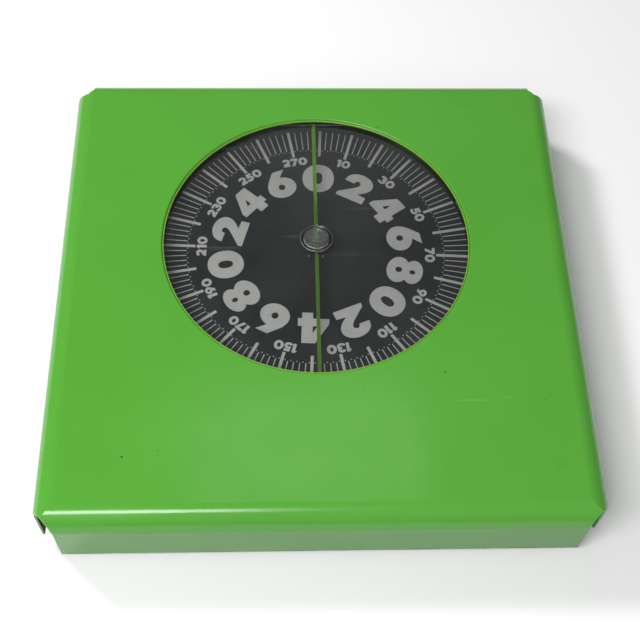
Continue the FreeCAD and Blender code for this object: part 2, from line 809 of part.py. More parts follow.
def build_spring_bridge():
    """Bare steel rail across the tray that carries the spring shelf on two cheeks."""
    floor = "base_level + base_sheet"
    rail = bent_plate(
        "rail",
        "XZ_Plane",
        (
            ("-rail_half", floor),
            ("-rail_gap_half", floor),
            ("-rail_gap_half", "rail_gap_top"),
            ("rail_gap_half", "rail_gap_top"),
            ("rail_gap_half", floor),
            ("rail_half", floor),
            ("rail_half", "rail_top"),
            ("-rail_half", "rail_top"),
        ),
        "bracket_sheet",
    )
    place(rail, ("0", "rail_along + bracket_sheet / 2", "0"))
    behind = "rail_along + bracket_sheet"
    pieces = [rail]
    for side, right in SIDES.items():
        foot_middle = f"{right} * (rail_half + rail_gap_half) / 2"
        cheek_start = f"{right} * (cheek_half + bracket_sheet / 2) - bracket_sheet / 2"
        pieces += [
            box(
                f"rail_foot_{side}",
                ("rail_half - rail_gap_half", "nose_plate_depth", "bracket_sheet"),
                (f"{foot_middle} - (rail_half - rail_gap_half) / 2", behind, floor),
            ),
            box(
                f"cheek_low_{side}",
                ("bracket_sheet", f"shelf_back - ({behind})", "rail_top - rail_gap_top"),
                (cheek_start, behind, "rail_gap_top"),
            ),
            box(
                f"cheek_high_{side}",
                ("bracket_sheet", "shelf_back - shelf_front", "shelf_level - rail_top"),
                (cheek_start, "shelf_front", "rail_top"),
            ),
        ]
    shelf = box(
        "shelf",
        ("2 * (cheek_half + bracket_sheet)", "shelf_back - shelf_front", "bracket_sheet"),
        ("-cheek_half - bracket_sheet", "shelf_front", "shelf_level"),
    )
    over = ("0", "nose_along", "shelf_level")
    hole = rod("shelf_hole", "stem_radius + running_play", "2 * bracket_sheet", over)
    sub_part(cut("bridge_bored", fuse("bridge_pieces", *pieces, shelf), hole), "spring_bridge")


def build_zero_setting():
    """Threaded stem and its knurled wheel, turned to bring the dial to zero."""
    bottom = "(shelf_level - stem_tail)"
    top = "(wheel_level + wheel_height + stem_proud)"
    stem = rod("stem", "stem_radius", f"{top} - {bottom}", ("0", "nose_along", bottom))
    collar_level = "shelf_level - stem_collar_height - stem_play"
    eye = rod("stem_eye", "stem_collar_radius", "stem_collar_height", ("0", "nose_along", collar_level))
    sub_part(fuse("stem_pieces", stem, eye), "adjusting_stem")
    radius = size("wheel_radius")
    notches = 36
    notch_depth = 0.5
    rim = []
    for index in range(2 * notches):
        angle = math.pi * index / notches
        reach = radius - notch_depth * (index % 2)
        rim.append(FreeCAD.Vector(reach * math.cos(angle), reach * math.sin(angle), 0))
    face = Part.Face(Part.makePolygon(rim + rim[:1]))
    disc = face.extrude(FreeCAD.Vector(0, 0, size("wheel_height")))
    bored = disc.cut(Part.makeCylinder(size("stem_radius"), size("wheel_height")))
    spot = FreeCAD.Vector(0, size("nose_along"), size("wheel_level"))
    sub_part(shape_feature("knurled_wheel", bored, spot), "zero_wheel")


# ---------------------------------------------------------------- dial train


def crank_swing():
    """Angle the bell crank turns through while the nose falls its whole travel."""
    return size("nose_travel") / size("crank_arm")


def rack_travel():
    """One turn of the pinion's pitch circle."""
    return math.pi * size("gear_module") * size("pinion_teeth")


def tall_arm():
    """Length of the crank's arm that moves the rack."""
    return rack_travel() / crank_swing()


def rack_root():
    """How far right of the pinion's axis the rack's teeth start."""
    return size("gear_module") * (size("pinion_teeth") / 2 + 1.25)


def build_bell_crank():
    """Flat L-shaped crank on a sleeve: one arm under the nose tab, one in the rack's slot."""
    half = crank_swing() / 2
    arm = size("crank_arm")
    tall = tall_arm()
    thick = size("crank_sheet")
    tip = size("crank_tip_radius")
    rear = FreeCAD.Vector(0, arm * math.cos(half), arm * math.sin(half))
    upper = FreeCAD.Vector(0, -tall * math.sin(half), tall * math.cos(half))
    left = FreeCAD.Vector(-thick / 2, 0, 0)
    boss = size("crank_boss_radius")
    plate = Part.makeCylinder(boss, thick, left, X_AXIS)
    for end, reach in ((rear, tip), (upper, tip + size("crank_peg_rim"))):
        eye = Part.makeCylinder(reach, thick, end + left, X_AXIS)
        web = Part.makeBox(thick, end.Length, 2 * tip, FreeCAD.Vector(-thick / 2, 0, -tip))
        web.rotate(FreeCAD.Vector(), X_AXIS, math.degrees(math.atan2(end.z, end.y)))
        plate = plate.fuse([eye, web])
    length = size("crank_sleeve_length")
    sleeve_start = FreeCAD.Vector(-size("crank_sleeve_left"), 0, 0)
    sleeve = Part.makeCylinder(boss, length, sleeve_start, X_AXIS)
    peg = Part.makeCylinder(tip, size("crank_peg_length"), upper + left, X_AXIS)
    bore_radius = size("crank_pin_radius") + size("running_play")
    bore = Part.makeCylinder(bore_radius, length, sleeve_start, X_AXIS)
    crank = plate.fuse([sleeve, peg]).cut(bore).removeSplitter()
    pivot = FreeCAD.Vector(0, size("crank_along"), size("crank_level"))
    sub_part(shape_feature("crank", crank, pivot), "bell_crank")


def build_crank_mount():
    """Two ears riveted to the tray, with the crank's pin and its return spring."""
    floor = "(base_level + base_sheet)"
    inside = f"{floor} + ear_foot"
    relief = f"{floor} + ear_foot / 4"
    crown = "crank_level + crank_boss_radius"
    points = (
        ("-ear_left", floor),
        ("ear_right", floor),
        ("ear_right", crown),
        ("ear_right - bracket_sheet", crown),
        ("ear_right - bracket_sheet", inside),
        ("1.5 * crank_boss_radius", inside),
        ("1.5 * crank_boss_radius", relief),
        ("-1.5 * crank_boss_radius", relief),
        ("-1.5 * crank_boss_radius", inside),
        ("bracket_sheet - ear_left", inside),
        ("bracket_sheet - ear_left", crown),
        ("-ear_left", crown),
    )
    ears = bent_plate("crank_ears", "XZ_Plane", points, "ear_depth")
    place(ears, ("0", "crank_along", "0"))
    start = ("-ear_left", "crank_along", "crank_level")
    length = "ear_left + ear_right"
    hole = rod("crank_hole", "crank_pin_radius", length, start, "X")
    sub_part(cut("crank_fork", ears, hole), "crank_bracket")
    sub_part(rod("crank_axle", "crank_pin_radius", length, start, "X"), "crank_pin")
    wire = size("return_wire")
    first = size("crank_sheet") + size("return_gap_left")
    last = size("ear_right") - size("bracket_sheet") - size("return_gap_right")
    wound = coil(size("return_radius"), wire, size("return_turns"), last - first)
    spot = FreeCAD.Vector(first + wire, size("crank_along"), size("crank_level"))
    spring = shape_feature("crank_coil", wound, spot, FreeCAD.Rotation(Y_AXIS, 90))
    sub_part(spring, "crank_spring")


def build_rack():
    """Flat bar along Y with teeth at the pinion and an upright slotted lug at the crank."""
    module = size("gear_module")
    pitch = math.pi * module
    line = module * size("pinion_teeth") / 2
    root = rack_root()
    middle = size("window_offset")
    level = size("gear_level")
    width = size("rack_width")
    half = crank_swing() / 2
    peg_y = size("crank_along") - tall_arm() * math.sin(half)
    peg_z = size("crank_level") + tall_arm() * math.cos(half)
    front = middle - rack_travel() - 4 * pitch
    bar_length = peg_y + size("rack_tail") - front
    shape = Part.makeBox(size("rack_back"), bar_length, width, FreeCAD.Vector(root, front, level))
    flank = math.tan(math.radians(20))
    half_pitch = 0.40 * pitch / 2
    tip = line - 0.9 * module
    half_root = half_pitch + 1.25 * module * flank
    half_tip = half_pitch - 0.9 * module * flank
    count = int(rack_travel() / pitch) + 5
    first = middle - (count - 2) * pitch
    teeth = []
    for index in range(count):
        centre = first + index * pitch
        corners = [
            FreeCAD.Vector(root, centre - half_root, level),
            FreeCAD.Vector(tip, centre - half_tip, level),
            FreeCAD.Vector(tip, centre + half_tip, level),
            FreeCAD.Vector(root, centre + half_root, level),
        ]
        tooth = Part.Face(Part.makePolygon(corners + corners[:1]))
        teeth.append(tooth.extrude(FreeCAD.Vector(0, 0, width)))
    lug_foot = FreeCAD.Vector(root + size("lug_inset"), peg_y - size("lug_front"), level)
    lug_height = peg_z + size("lug_crown") - level
    lug = Part.makeBox(size("lug_sheet"), size("lug_depth"), lug_height, lug_foot)
    slot_foot = FreeCAD.Vector(root, peg_y - size("slot_front"), peg_z - size("slot_drop"))
    slot = Part.makeBox(size("rack_back"), size("slot_depth"), size("slot_height"), slot_foot)
    shape = shape.fuse(teeth + [lug]).cut(slot).removeSplitter()
    sub_part(shape_feature("toothed_bar", shape), "rack")


def build_pinion():
    """Brass pinion whose pitch circle rolls once round for a full dial turn."""
    module = size("gear_module")
    teeth = int(size("pinion_teeth"))
    line = module * teeth / 2
    root = line - 1.2 * module
    tip = line + 0.85 * module
    width = size("gear_width")
    shape = Part.makeCylinder(root, width)
    for index in range(teeth):
        step = 360.0 * index / teeth + 180.0 / teeth
        half_root = 0.42 * module * math.pi / 2
        half_line = 0.36 * module * math.pi / 2
        half_tip = 0.16 * module * math.pi / 2
        corners = [
            FreeCAD.Vector(root * 0.6, -half_root, 0),
            FreeCAD.Vector(root, -half_root, 0),
            FreeCAD.Vector(line, -half_line, 0),
            FreeCAD.Vector(tip, -half_tip, 0),
            FreeCAD.Vector(tip, half_tip, 0),
            FreeCAD.Vector(line, half_line, 0),
            FreeCAD.Vector(root, half_root, 0),
            FreeCAD.Vector(root * 0.6, half_root, 0),
        ]
        tooth = Part.Face(Part.makePolygon(corners + corners[:1])).extrude(FreeCAD.Vector(0, 0, width))
        tooth.rotate(FreeCAD.Vector(), Z_AXIS, step)
        shape = shape.fuse(tooth)
    shape = shape.cut(Part.makeCylinder(size("shaft_radius"), width)).removeSplitter()
    overhang = (width - size("rack_width")) / 2
    spot = FreeCAD.Vector(0, size("window_offset"), size("gear_level") - overhang)
    sub_part(shape_feature("toothed_wheel", shape, spot), "pinion")


def build_dial():
    """Printed disc riveted to its hub on the pinion's shaft."""
    middle = "window_offset"
    under = "(dial_top - dial_sheet)"
    disc = rod("disc", "dial_radius", "dial_sheet", ("0", middle, under))
    bore = rod("disc_bore", "shaft_radius", "dial_sheet", ("0", middle, under))
    sub_part(cut("dial_face", disc, bore), "dial_disc")
    neck_level = f"({under} - hub_sheet - hub_neck_height)"
    flange = rod("hub_flange", "hub_radius", "hub_sheet", ("0", middle, f"{under} - hub_sheet"))
    neck = rod("hub_neck", "hub_neck_radius", "hub_neck_height", ("0", middle, neck_level))
    hub_bore = rod("hub_bore", "shaft_radius", "hub_sheet + hub_neck_height", ("0", middle, neck_level))
    sub_part(cut("hub", fuse("hub_pieces", flange, neck), hub_bore), "dial_hub")
    shaft = rod("shaft", "shaft_radius", "dial_top - shaft_bottom", ("0", middle, "shaft_bottom"))
    sub_part(shaft, "dial_shaft")
    heads = []
    for index in range(4):
        angle = f"({45 + 90 * index} - dial_zero)"
        across = f"hub_rivet_circle * cos({angle})"
        along = f"{middle} + hub_rivet_circle * sin({angle})"
        spot = (across, along, "dial_top")
        heads.append(rod(f"hub_rivet_{index}", "hub_rivet_radius", "hub_rivet_height", spot))
    sub_part(gather("hub_rivet_set", *heads), "hub_rivets")


def build_dial_bridge():
    """Inverted stirrup that guides the shaft above the pinion, and the cup below it."""
    floor = "(base_level + base_sheet)"
    top = "(gear_level + gear_width + bridge_gap)"
    middle = "window_offset"
    points = (
        ("-bridge_half - bridge_foot", floor),
        ("-bridge_half", floor),
        ("-bridge_half", top),
        ("bridge_half", top),
        ("bridge_half", floor),
        ("bridge_half + bridge_foot", floor),
        ("bridge_half + bridge_foot", f"{floor} + bracket_sheet"),
        ("bridge_half + bracket_sheet", f"{floor} + bracket_sheet"),
        ("bridge_half + bracket_sheet", f"{top} + bracket_sheet"),
        ("-bridge_half - bracket_sheet", f"{top} + bracket_sheet"),
        ("-bridge_half - bracket_sheet", f"{floor} + bracket_sheet"),
        ("-bridge_half - bridge_foot", f"{floor} + bracket_sheet"),
    )
    stirrup = bent_plate("dial_stirrup", "XZ_Plane", points, "bridge_depth")
    place(stirrup, ("0", middle, "0"))
    fit = "shaft_radius + running_play"
    hole = rod("dial_stirrup_hole", fit, "bracket_sheet", ("0", middle, top))
    sub_part(cut("dial_bridge_bored", stirrup, hole), "dial_bridge")
    cup = rod("cup_outer", "cup_radius", "cup_height", ("0", middle, floor))
    well_level = "shaft_bottom - 2 * running_play"
    well = rod("cup_well", fit, "cup_height", ("0", middle, well_level))
    sub_part(cut("cup", cup, well), "shaft_cup")


def build_rack_guides():
    """Slotted posts that keep the rack straight and in mesh."""
    floor = "(base_level + base_sheet)"
    root = rack_root()
    start = f"{root} + rack_back / 2 - guide_width / 2"
    for name in ("front", "rear"):
        along = f"guide_{name}"
        height = f"gear_level + gear_width + guide_crown - {floor}"
        spot = (start, along, floor)
        post = box(f"post_{name}", ("guide_width", "bracket_sheet", height), spot)
        foot = box(f"post_foot_{name}", ("guide_width", "guide_foot", "bracket_sheet"), spot)
        slot = box(
            f"slot_{name}",
            ("rack_back + 2 * guide_play", "bracket_sheet", "rack_width + 2 * guide_play"),
            (f"{root} - guide_play", along, "gear_level - guide_play"),
        )
        angled = fuse(f"post_pieces_{name}", post, foot)
        sub_part(cut(f"slotted_{name}", angled, slot), f"rack_guide_{name}")


def build_rivets():
    """Rivet heads that hold the rail, the dial bridge and the rack guides to the tray."""
    rail_spots = [
        (
            f"{right} * (rail_half + rail_gap_half) / 2 + {shift} * rail_rivet_half",
            "rail_along + rail_rivet_back",
        )
        for right in SIDES.values()
        for shift in (-1, 1)
    ]
    bridge_spots = [
        (f"{right} * (bridge_half + bracket_sheet / 2 + bridge_foot / 2)", "window_offset")
        for right in SIDES.values()
    ]
    guide_spots = [
        (
            f"{rack_root()} + rack_back / 2 + {shift} * guide_rivet_half",
            f"guide_{name} + guide_rivet_back",
        )
        for name in ("front", "rear")
        for shift in (-1, 1)
    ]
    level = "base_level + base_sheet + bracket_sheet"
    heads = [
        rod(f"rivet_{index}", "rivet_radius", "rivet_height", (*spot, level))
        for index, spot in enumerate(rail_spots + bridge_spots + guide_spots)
    ]
    sub_part(gather("rivet_set", *heads), "base_rivets")


build_cover()
build_lens()
build_lens_clips()
build_base()
build_feet()
build_fulcrums()
build_levers()
build_supports()
build_hold_downs()
build_nose_plate()
build_main_spring()
build_spring_bridge()
build_zero_setting()
build_bell_crank()
build_crank_mount()
build_rack()
build_pinion()
build_dial()
build_dial_bridge()
build_rack_guides()
build_rivets()

doc.recompute()

failed = [item.Name for item in doc.Objects if "Invalid" in item.State or "Error" in item.State]
if failed:
    raise RuntimeError(f"failed objects: {failed}")
for feature in sub_parts:
    if feature.Shape.isNull() or not feature.Shape.isValid():
        raise RuntimeError(f"{feature.Label} has no valid shape")
for feature in sub_parts:
    feature.Shape.exportStep(f"parts/{feature.Label}.step")
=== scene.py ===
import math

import bmesh
import bpy
from mathutils import Matrix, Vector
from mathutils.geometry import tessellate_polygon


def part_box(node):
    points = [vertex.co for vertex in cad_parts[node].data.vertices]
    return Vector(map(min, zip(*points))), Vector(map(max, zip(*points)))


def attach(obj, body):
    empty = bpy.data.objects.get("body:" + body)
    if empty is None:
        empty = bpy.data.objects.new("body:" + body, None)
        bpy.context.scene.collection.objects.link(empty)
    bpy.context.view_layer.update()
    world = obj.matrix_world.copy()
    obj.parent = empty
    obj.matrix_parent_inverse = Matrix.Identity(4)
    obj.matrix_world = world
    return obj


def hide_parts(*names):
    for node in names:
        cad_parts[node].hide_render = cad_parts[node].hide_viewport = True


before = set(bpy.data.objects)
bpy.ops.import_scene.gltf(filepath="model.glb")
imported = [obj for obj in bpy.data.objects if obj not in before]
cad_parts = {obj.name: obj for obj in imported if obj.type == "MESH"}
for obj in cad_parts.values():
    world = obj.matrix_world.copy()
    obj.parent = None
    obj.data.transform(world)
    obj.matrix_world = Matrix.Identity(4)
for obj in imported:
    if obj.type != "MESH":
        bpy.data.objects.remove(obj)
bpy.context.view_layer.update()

MM = 0.001

# ---------------------------------------------------------------- places read from the frame

dial_low, dial_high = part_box("dial_disc")
DIAL_X = (dial_low.x + dial_high.x) / 2
DIAL_Y = (dial_low.y + dial_high.y) / 2
DIAL_TOP = dial_high.z
LENS_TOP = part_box("dial_lens")[1].z
boss_low, boss_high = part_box("lens_boss")
BOSS_RADIUS = (boss_high.x - boss_low.x) / 2
plate_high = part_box("platform_cover")[1]

# height of the bare rail's upper edge, which its box doesn't tell
RAIL_TOP = 30.0 * MM

# the dial rests a little below zero
DIAL_REST_TURN = math.radians(-2.87)
CAPACITY = 280  # pounds in one full turn

# the cover's sheet: its bend's outer radius, and how deep below its outer faces the painted shade
# of the inside sets in
BEND_RADIUS = 11.0 * MM
OUTER_SKIN_DEPTH = 0.6 * MM

# heights, going down: the skirts' painted shade sets in and is full, and the lower edge's darker
# band likewise
SKIRT_SHADE_STARTS = 0.0425
SKIRT_SHADE_FULL = 0.031
LOWER_BAND_STARTS = 0.0095
LOWER_BAND_FULL = 0.0068


# ---------------------------------------------------------------- materials


class Paint:
    """A node material with short helpers for the nodes that repeat."""

    def __init__(self, name):
        self.material = bpy.data.materials.new(name)
        self.material.use_nodes = True
        self.nodes = self.material.node_tree.nodes
        self.links = self.material.node_tree.links
        self.shader = self.nodes["Principled BSDF"]
        self.place = self.nodes.new("ShaderNodeTexCoord").outputs["Object"]

    def link(self, source, target):
        self.links.new(source, target)

    def set(self, **values):
        for name, value in values.items():
            self.shader.inputs[name.replace("_", " ")].default_value = value
        return self

    def noise(self, scale, detail=4.0, rough=0.55, stretch=None):
        node = self.nodes.new("ShaderNodeTexNoise")
        node.inputs["Scale"].default_value = scale
        node.inputs["Detail"].default_value = detail
        node.inputs["Roughness"].default_value = rough
        self.link(self.stretched(stretch), node.inputs["Vector"])
        return node.outputs["Fac"]

    def stretched(self, stretch):
        if stretch is None:
            return self.place
        node = self.nodes.new("ShaderNodeMapping")
        node.inputs["Scale"].default_value = stretch
        self.link(self.place, node.inputs["Vector"])
        return node.outputs["Vector"]

    def cells(self, scale):
        node = self.nodes.new("ShaderNodeTexVoronoi")
        node.inputs["Scale"].default_value = scale
        self.link(self.place, node.inputs["Vector"])
        return node.outputs["Distance"]

    def band(self, source, start, end, low=0.0, high=1.0):
        """Map start..end of a value to low..high, clamped."""
        node = self.nodes.new("ShaderNodeMapRange")
        node.inputs["From Min"].default_value = start
        node.inputs["From Max"].default_value = end
        node.inputs["To Min"].default_value = low
        node.inputs["To Max"].default_value = high
        self.link(source, node.inputs["Value"])
        return node.outputs["Result"]

    def combine(self, operation, first, second):
        node = self.nodes.new("ShaderNodeMath")
        node.operation = operation
        for socket, value in zip(node.inputs, (first, second)):
            if isinstance(value, (int, float)):
                socket.default_value = value
            else:
                self.link(value, socket)
        return node.outputs["Value"]

    def length(self, first, second):
        """Length of the hypotenuse over two sides."""
        first = self.combine("POWER", first, 2.0)
        second = self.combine("POWER", second, 2.0)
        return self.combine("SQRT", self.combine("ADD", first, second), 0.0)

    def mix(self, factor, first, second):
        node = self.nodes.new("ShaderNodeMix")
        node.data_type = "RGBA"
        self.link(factor, node.inputs["Factor"])
        for socket, value in ((node.inputs[6], first), (node.inputs[7], second)):
            if isinstance(value, tuple):
                socket.default_value = (*value, 1.0)
            else:
                self.link(value, socket)
        return node.outputs[2]

    def axis(self, name):
        node = self.nodes.new("ShaderNodeSeparateXYZ")
        self.link(self.place, node.inputs["Vector"])
        return node.outputs[name]

    def colour(self, source):
        self.link(source, self.shader.inputs["Base Color"])

    def rough(self, source):
        self.link(source, self.shader.inputs["Roughness"])

    def bump(self, source, strength, distance):
        node = self.nodes.new("ShaderNodeBump")
        node.inputs["Strength"].default_value = strength
        node.inputs["Distance"].default_value = distance
        self.link(source, node.inputs["Height"])
        self.link(node.outputs["Normal"], self.shader.inputs["Normal"])


def inside_of_cover(paint):
    """One on the inner faces of the bent sheet, zero on its outer faces and cut edges."""
    skin = OUTER_SKIN_DEPTH
    masks = [paint.band(paint.axis("Z"), plate_high.z - skin, plate_high.z - 2 * skin)]
    for axis, half in (("X", plate_high.x), ("Y", plate_high.y)):
        reach = paint.combine("ABSOLUTE", paint.axis(axis), 0.0)
        masks.append(paint.band(reach, half - skin, half - 2 * skin))
    inner = masks[0]
    for mask in masks[1:]:
        inner = paint.combine("MULTIPLY", inner, mask)
    # outer bends also lie inside those three planes, so the bend's own radius decides there
    bend = BEND_RADIUS
    for axis, half in (("X", plate_high.x), ("Y", plate_high.y)):
        side = paint.combine("ABSOLUTE", paint.axis(axis), 0.0)
        run = paint.combine("MAXIMUM", paint.combine("SUBTRACT", side, half - bend), 0.0)
        above = paint.combine("SUBTRACT", paint.axis("Z"), plate_high.z - bend)
        from_middle = paint.length(run, paint.combine("MAXIMUM", above, 0.0))
        mask = paint.band(from_middle, bend - skin, bend - 2 * skin)
        inner = paint.combine("MULTIPLY", inner, mask)
    return inner


def green_enamel(name, shade_and_edge_band):
    """Glossy baked enamel: faint orange peel, tiny chips and rubbed scuffs; when asked for,
    painted shade on the skirts and inner faces and a darker, ragged band along the lower edge.
    """
    paint = Paint(name)
    cloud = paint.band(paint.noise(9.0, 3.0), 0.35, 0.65)
    base = paint.mix(cloud, (0.078, 0.325, 0.030), (0.088, 0.345, 0.036))
    grime = paint.band(paint.noise(40.0, 6.0, 0.7), 0.62, 0.8)
    base = paint.mix(paint.combine("MULTIPLY", grime, 0.25), base, (0.06, 0.20, 0.03))
    # pin-sized chips, scattered thinly
    chips = paint.band(paint.cells(70.0), 0.05, 0.03)
    sparse = paint.band(paint.noise(14.0, 1.0), 0.60, 0.64)
    chips = paint.combine("MULTIPLY", chips, sparse)
    base = paint.mix(paint.combine("MULTIPLY", chips, 0.85), base, (0.03, 0.05, 0.02))
    # short rubbed strokes
    strokes = paint.band(paint.noise(60.0, 2.0, 0.5, (0.25, 3.0, 3.0)), 0.715, 0.76)
    patch = paint.band(paint.noise(7.0, 1.0), 0.55, 0.7)
    strokes = paint.combine("MULTIPLY", strokes, patch)
    base = paint.mix(paint.combine("MULTIPLY", strokes, 0.35), base, (0.22, 0.5, 0.15))
    if shade_and_edge_band:
        # painted shade: the skirts and bends are painted darker from the top's edge down, in
        # uneven streaks
        skirt_shade = paint.band(paint.axis("Z"), SKIRT_SHADE_STARTS, SKIRT_SHADE_FULL, 0.0, 0.95)
        shade_streaks = paint.band(paint.noise(16.0, 5.0, 0.65, (0.35, 0.35, 3.0)), 0.25, 0.75, 0.75, 1.0)
        base = paint.mix(paint.combine("MULTIPLY", skirt_shade, shade_streaks), base, (0.052, 0.20, 0.024))
        # painted shade: the inner faces of the cover are painted near-black green
        base = paint.mix(inside_of_cover(paint), base, (0.012, 0.035, 0.010))
    # a darker, ragged band along the lower edge
    height = paint.band(paint.axis("Z"), LOWER_BAND_STARTS, LOWER_BAND_FULL)
    ragged = paint.band(paint.noise(70.0, 5.0, 0.7, (1.0, 1.0, 2.5)), 0.50, 0.62)
    hem = paint.combine("MULTIPLY", paint.combine("MULTIPLY", height, ragged), shade_and_edge_band)
    base = paint.mix(hem, base, (0.035, 0.06, 0.025))
    paint.colour(base)
    rough = paint.band(paint.noise(25.0, 5.0, 0.6), 0.3, 0.75, 0.10, 0.22)
    rough = paint.combine("ADD", rough, paint.combine("MULTIPLY", strokes, 0.2))
    if shade_and_edge_band:
        rough = paint.combine("ADD", rough, paint.combine("MULTIPLY", inside_of_cover(paint), 0.6))
    paint.rough(paint.combine("ADD", rough, paint.combine("MULTIPLY", hem, 0.3)))
    peel = paint.combine("ADD", paint.noise(420.0, 2.0), paint.combine("MULTIPLY", chips, -0.8))
    paint.bump(peel, 0.05, 0.00025)
    return paint.set(Specular_IOR_Level=0.5).material


def dial_black():
    """Printed black coating, slightly brushed and dusty."""
    paint = Paint("dial_black_print")
    dust = paint.band(paint.noise(26.0, 6.0, 0.7), 0.3, 0.75)
    base = paint.mix(dust, (0.012, 0.016, 0.018), (0.024, 0.029, 0.030))
    specks = paint.band(paint.cells(420.0), 0.12, 0.05)
    base = paint.mix(paint.combine("MULTIPLY", specks, 0.25), base, (0.10, 0.11, 0.11))
    brushed = paint.noise(160.0, 2.0, 0.5, (9.0, 0.6, 1.0))
    base = paint.mix(paint.band(brushed, 0.45, 0.8, 0.0, 0.35), base, (0.04, 0.046, 0.047))
    paint.colour(base)
    paint.rough(paint.band(paint.noise(90.0, 4.0), 0.3, 0.7, 0.42, 0.6))
    paint.bump(brushed, 0.05, 0.0001)
    return paint.set(Specular_IOR_Level=0.15).material


def print_grey():
    """Light grey ink of the numerals and ticks, a touch uneven."""
    paint = Paint("dial_ink")
    uneven = paint.band(paint.noise(140.0, 5.0, 0.7), 0.3, 0.7)
    paint.colour(paint.mix(uneven, (0.52, 0.52, 0.505), (0.61, 0.61, 0.595)))
    paint.rough(paint.band(paint.noise(300.0, 2.0), 0.3, 0.7, 0.5, 0.65))
    return paint.material


def metal(name, dark, light, low, high, grain=(1.0, 14.0, 14.0), metallic=1.0):
    """Plated or bare metal with a directional grain and dull patches."""
    paint = Paint(name)
    streak = paint.noise(140.0, 4.0, 0.6, grain)
    dull = paint.noise(30.0, 5.0, 0.65)
    paint.colour(paint.mix(paint.band(dull, 0.3, 0.7), dark, light))
    patches = paint.band(dull, 0.3, 0.7, low, high)
    paint.rough(paint.combine("ADD", patches, paint.band(streak, 0.3, 0.7, -0.05, 0.05)))
    paint.bump(streak, 0.12, 0.00008)
    return paint.set(Metallic=metallic).material


def rubber():
    """Matte moulded rubber with dust in its pores."""
    paint = Paint("black_rubber")
    dust = paint.band(paint.noise(60.0, 6.0, 0.7), 0.45, 0.75)
    paint.colour(paint.mix(dust, (0.018, 0.018, 0.018), (0.06, 0.057, 0.05)))
    paint.rough(paint.band(paint.noise(200.0, 3.0), 0.3, 0.7, 0.7, 0.9))
    paint.bump(paint.noise(900.0, 3.0), 0.25, 0.0001)
    return paint.material


def moulded(name, dark, light, low, high):
    """Moulded plastic with a fine spark-eroded grain."""
    paint = Paint(name)
    shade = paint.band(paint.noise(45.0, 4.0), 0.3, 0.7)
    paint.colour(paint.mix(shade, dark, light))
    paint.rough(paint.band(paint.noise(220.0, 3.0), 0.3, 0.7, low, high))
    paint.bump(paint.noise(1500.0, 2.0), 0.1, 0.00005)
    return paint.material


def clear_plastic(name, tint, veil, haze_of, rough):
    """Thin clear plastic: see-through, with a glossy skin and a haze given by haze_of(paint)."""
    paint = Paint(name)
    nodes = paint.nodes
    through = nodes.new("ShaderNodeBsdfTransparent")
    through.inputs["Color"].default_value = (*tint, 1.0)
    haze = nodes.new("ShaderNodeBsdfDiffuse")
    haze.inputs["Color"].default_value = (*veil, 1.0)
    body = nodes.new("ShaderNodeMixShader")
    paint.link(haze_of(paint), body.inputs["Fac"])
    paint.link(through.outputs["BSDF"], body.inputs[1])
    paint.link(haze.outputs["BSDF"], body.inputs[2])
    gloss = nodes.new("ShaderNodeBsdfGlossy")
    gloss.inputs["Roughness"].default_value = rough
    fresnel = nodes.new("ShaderNodeFresnel")
    fresnel.inputs["IOR"].default_value = 1.46
    skin = nodes.new("ShaderNodeMixShader")
    paint.link(fresnel.outputs["Fac"], skin.inputs["Fac"])
    paint.link(body.outputs["Shader"], skin.inputs[1])
    paint.link(gloss.outputs["BSDF"], skin.inputs[2])
    paint.link(skin.outputs["Shader"], nodes["Material Output"].inputs["Surface"])
    return paint.material


def lens_haze(paint):
    """Faint clouds of dust and a few hair scratches under the window."""
    clouds = paint.band(paint.noise(18.0, 6.0, 0.7), 0.35, 0.75, 0.0, 0.02)
    scratches = paint.band(paint.noise(55.0, 2.0, 0.5, (0.3, 5.0, 1.0)), 0.70, 0.74, 0.0, 0.05)
    return paint.combine("ADD", clouds, scratches)


def boss_haze(paint):
    """Turned rings round the boss's middle, and a frosted centre."""
    across = paint.combine("SUBTRACT", paint.axis("X"), DIAL_X)
    along = paint.combine("SUBTRACT", paint.axis("Y"), DIAL_Y)
    radius = paint.combine("DIVIDE", paint.length(across, along), MM)
    haze = paint.band(radius, 7.2, 6.4, 0.0, 0.02)
    waves = paint.combine("SINE", paint.combine("MULTIPLY", radius, 8.5), 0.0)
    fine = paint.band(waves, 0.2, 1.0, 0.0, 0.26)
    fine = paint.combine("MULTIPLY", fine, paint.band(radius, 6.6, 6.0))
    haze = paint.combine("ADD", haze, fine)
    for middle, half, strength in ((8.95, 0.22, 0.4), (8.2, 0.16, 0.08), (6.95, 0.25, 0.4)):
        away = paint.combine("ABSOLUTE", paint.combine("SUBTRACT", radius, middle), 0.0)
        haze = paint.combine("ADD", haze, paint.band(away, half, 0.0, 0.0, strength))
    patchy = paint.band(paint.noise(500.0, 3.0), 0.3, 0.7, 0.6, 1.2)
    return paint.combine("MULTIPLY", haze, patchy)


# the cover's enamel gets the painted shade and the darker lower-edge band; the tray's gets neither
ENAMEL = green_enamel("green_enamel", 0.9)
TRAY_ENAMEL = green_enamel("tray_enamel", 0.0)
BLACK = dial_black()
INK = print_grey()
ZINC = metal("zinc_plate", (0.46, 0.46, 0.44), (0.62, 0.61, 0.58), 0.28, 0.5)
BARE = metal("bare_strip_steel", (0.22, 0.22, 0.22), (0.34, 0.34, 0.33), 0.35, 0.5)
